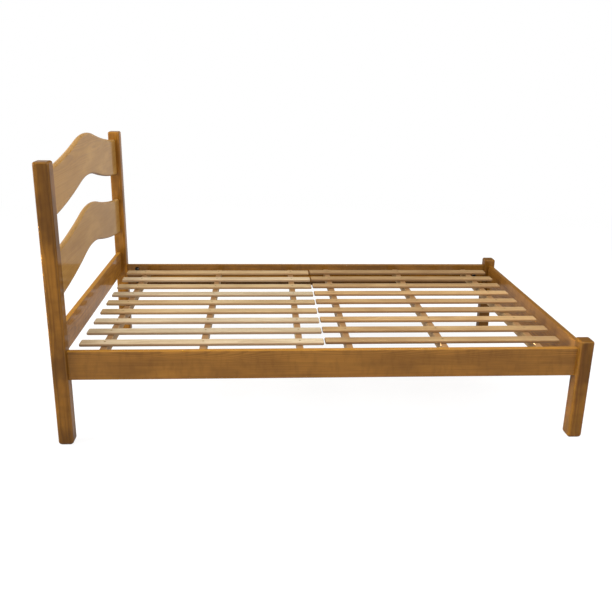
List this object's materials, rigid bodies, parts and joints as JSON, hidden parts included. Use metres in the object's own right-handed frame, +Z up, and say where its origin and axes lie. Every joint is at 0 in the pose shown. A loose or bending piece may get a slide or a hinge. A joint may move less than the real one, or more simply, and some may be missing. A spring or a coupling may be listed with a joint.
{
  "type": "slatted bedstead",
  "caption": "Wooden three-quarter bedstead with a camel-back headboard of wavy boards, low foot posts and two lift-out slat panels for a mattress.",
  "frame": {"origin": "on the floor, in the middle of the four posts", "axes": "+X from the headboard to the foot, +Y to the sleeper's left, +Z up"},
  "size_m": [1.993, 1.162, 1.092],
  "materials": {
    "varnished_pine": "semi-gloss honey-brown varnish",
    "raw_pine": "sawn and sanded, unvarnished",
    "zinc_steel": "zinc-plated, the wood screws yellow-passivated",
    "black_steel": "blackened and oiled"
  },
  "bodies": {
    "frame": {"head_post_left": "varnished_pine", "head_post_right": "varnished_pine", "foot_post_left": "varnished_pine", "foot_post_right": "varnished_pine", "side_rail_left": "varnished_pine", "side_rail_right": "varnished_pine", "head_rail": "varnished_pine", "foot_rail": "varnished_pine", "headboard_upper_board": "varnished_pine", "headboard_lower_board": "varnished_pine", "cleat_left": "varnished_pine", "cleat_right": "varnished_pine", "cleat_screws": "zinc_steel", "bed_bolts": "zinc_steel", "bolt_nuts": "black_steel", "bolt_washers": "black_steel", "rail_dowels": "raw_pine"},
    "head_panel": {"head_slat_1": "raw_pine", "head_slat_2": "raw_pine", "head_slat_3": "raw_pine", "head_slat_4": "raw_pine", "head_slat_5": "raw_pine", "head_slat_6": "raw_pine", "head_slat_7": "raw_pine", "head_slat_8": "raw_pine", "head_slat_9": "raw_pine", "head_batten_1": "raw_pine", "head_batten_2": "raw_pine", "head_batten_3": "raw_pine", "head_panel_screws": "zinc_steel"},
    "foot_panel": {"foot_slat_1": "raw_pine", "foot_slat_2": "raw_pine", "foot_slat_3": "raw_pine", "foot_slat_4": "raw_pine", "foot_slat_5": "raw_pine", "foot_slat_6": "raw_pine", "foot_slat_7": "raw_pine", "foot_slat_8": "raw_pine", "foot_slat_9": "raw_pine", "foot_batten_1": "raw_pine", "foot_batten_2": "raw_pine", "foot_batten_3": "raw_pine", "foot_panel_screws": "zinc_steel"}
  },
  "joints": [
    {"name": "head_panel_lift", "type": "slide", "parent": "frame", "child": "head_panel", "axis": [0, 0, 1], "range_m": [0, 0.15]},
    {"name": "foot_panel_lift", "type": "slide", "parent": "frame", "child": "foot_panel", "axis": [0, 0, 1], "range_m": [0, 0.15]}
  ]
}
